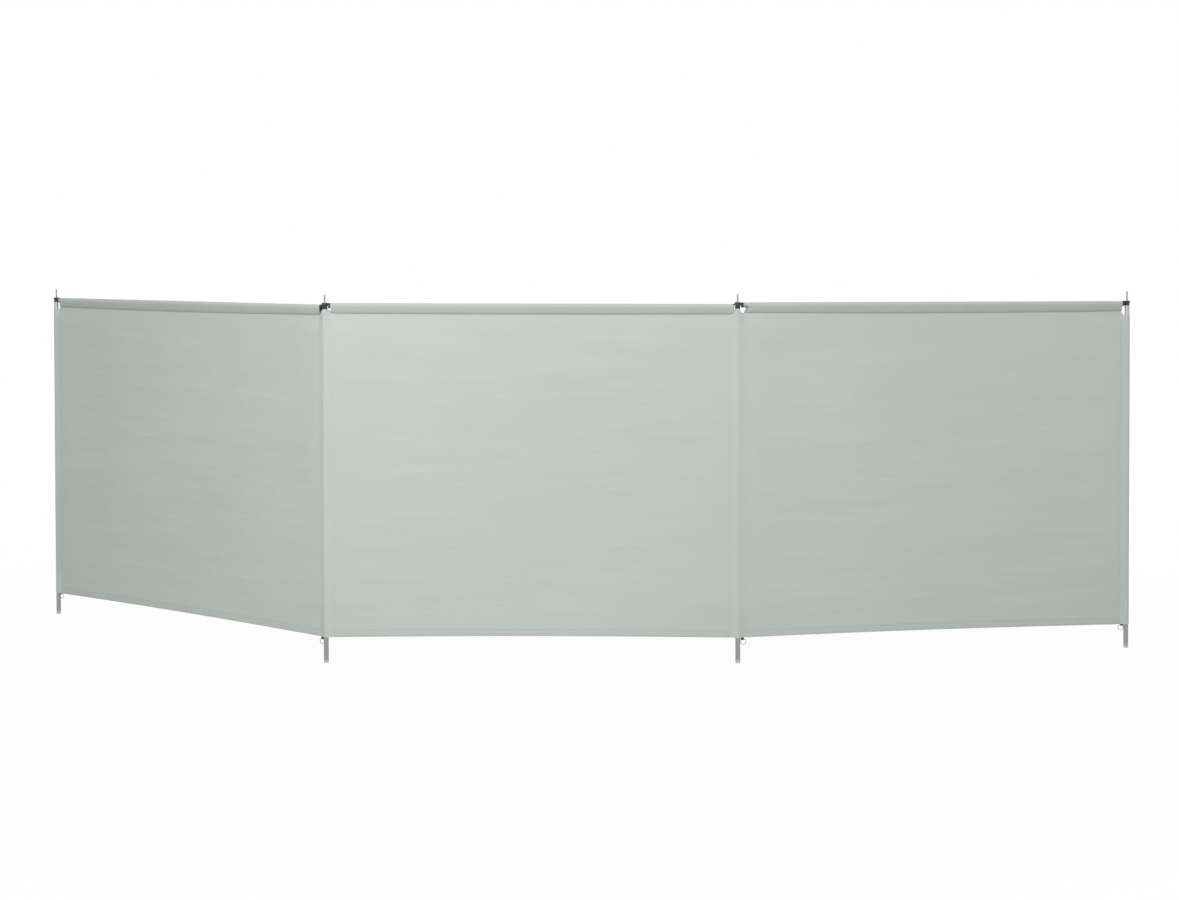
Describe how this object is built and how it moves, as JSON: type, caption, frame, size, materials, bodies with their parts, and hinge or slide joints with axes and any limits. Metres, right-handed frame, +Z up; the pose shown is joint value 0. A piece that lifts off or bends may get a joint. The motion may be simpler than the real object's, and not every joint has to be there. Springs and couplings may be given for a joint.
{
  "type": "beach windbreak",
  "caption": "Free-standing cloth windbreak in bays: sleeved canvas on tube poles, with top rails hooked over the poles' spikes so that the outer bays swing.",
  "frame": {"origin": "underside of the left inner pole's foot, on the pole's axis", "axes": "+X along the middle bay towards the right inner pole, +Z up; the picture looks along +Y, and both outer bays stand back towards +Y"},
  "size_m": [4.5286, 0.9187, 1.433],
  "materials": {
    "canvas": "woven, matt",
    "galvanised_steel": "drawn tube and rod, dull zinc",
    "black_plastic": "moulded, fine grain",
    "foot_plastic": "moulded, dull",
    "peg_webbing": "stiff webbing, olive grey"
  },
  "bodies": {
    "middle_bay": {"left_inner_pole": "galvanised_steel", "right_inner_pole": "galvanised_steel", "left_inner_foot": "foot_plastic", "right_inner_foot": "foot_plastic", "left_inner_cap": "black_plastic", "right_inner_cap": "black_plastic", "left_inner_spike": "galvanised_steel", "right_inner_spike": "galvanised_steel", "middle_rail": "galvanised_steel", "middle_rail_left_eye": "black_plastic", "middle_rail_right_eye": "black_plastic", "middle_rail_sleeve": "canvas", "middle_panel": "canvas", "middle_hem": "canvas", "left_inner_sleeve": "canvas", "right_inner_sleeve": "canvas"},
    "left_bay": {"left_end_pole": "galvanised_steel", "left_end_foot": "foot_plastic", "left_end_cap": "black_plastic", "left_end_spike": "galvanised_steel", "left_rail": "galvanised_steel", "left_rail_outer_eye": "black_plastic", "left_rail_inner_eye": "black_plastic", "left_rail_sleeve": "canvas", "left_panel": "canvas", "left_hem": "canvas", "left_end_sleeve": "canvas", "left_sleeve_flap": "canvas", "left_outer_peg_loop": "peg_webbing", "left_inner_peg_loop": "peg_webbing"},
    "right_bay": {"right_end_pole": "galvanised_steel", "right_end_foot": "foot_plastic", "right_end_cap": "black_plastic", "right_end_spike": "galvanised_steel", "right_rail": "galvanised_steel", "right_rail_inner_eye": "black_plastic", "right_rail_outer_eye": "black_plastic", "right_rail_sleeve": "canvas", "right_panel": "canvas", "right_hem": "canvas", "right_end_sleeve": "canvas", "right_sleeve_flap": "canvas", "right_inner_peg_loop": "peg_webbing", "right_outer_peg_loop": "peg_webbing"}
  },
  "joints": [
    {"name": "left_bay_swing", "type": "hinge", "parent": "middle_bay", "child": "left_bay", "pos_m": [0, 0, 1.3913], "axis": [0, 0, 1], "range_deg": [-66, 134]},
    {"name": "right_bay_swing", "type": "hinge", "parent": "middle_bay", "child": "right_bay", "pos_m": [1.6, 0, 1.3913], "axis": [0, 0, 1], "range_deg": [-109.5, 90.5]}
  ]
}
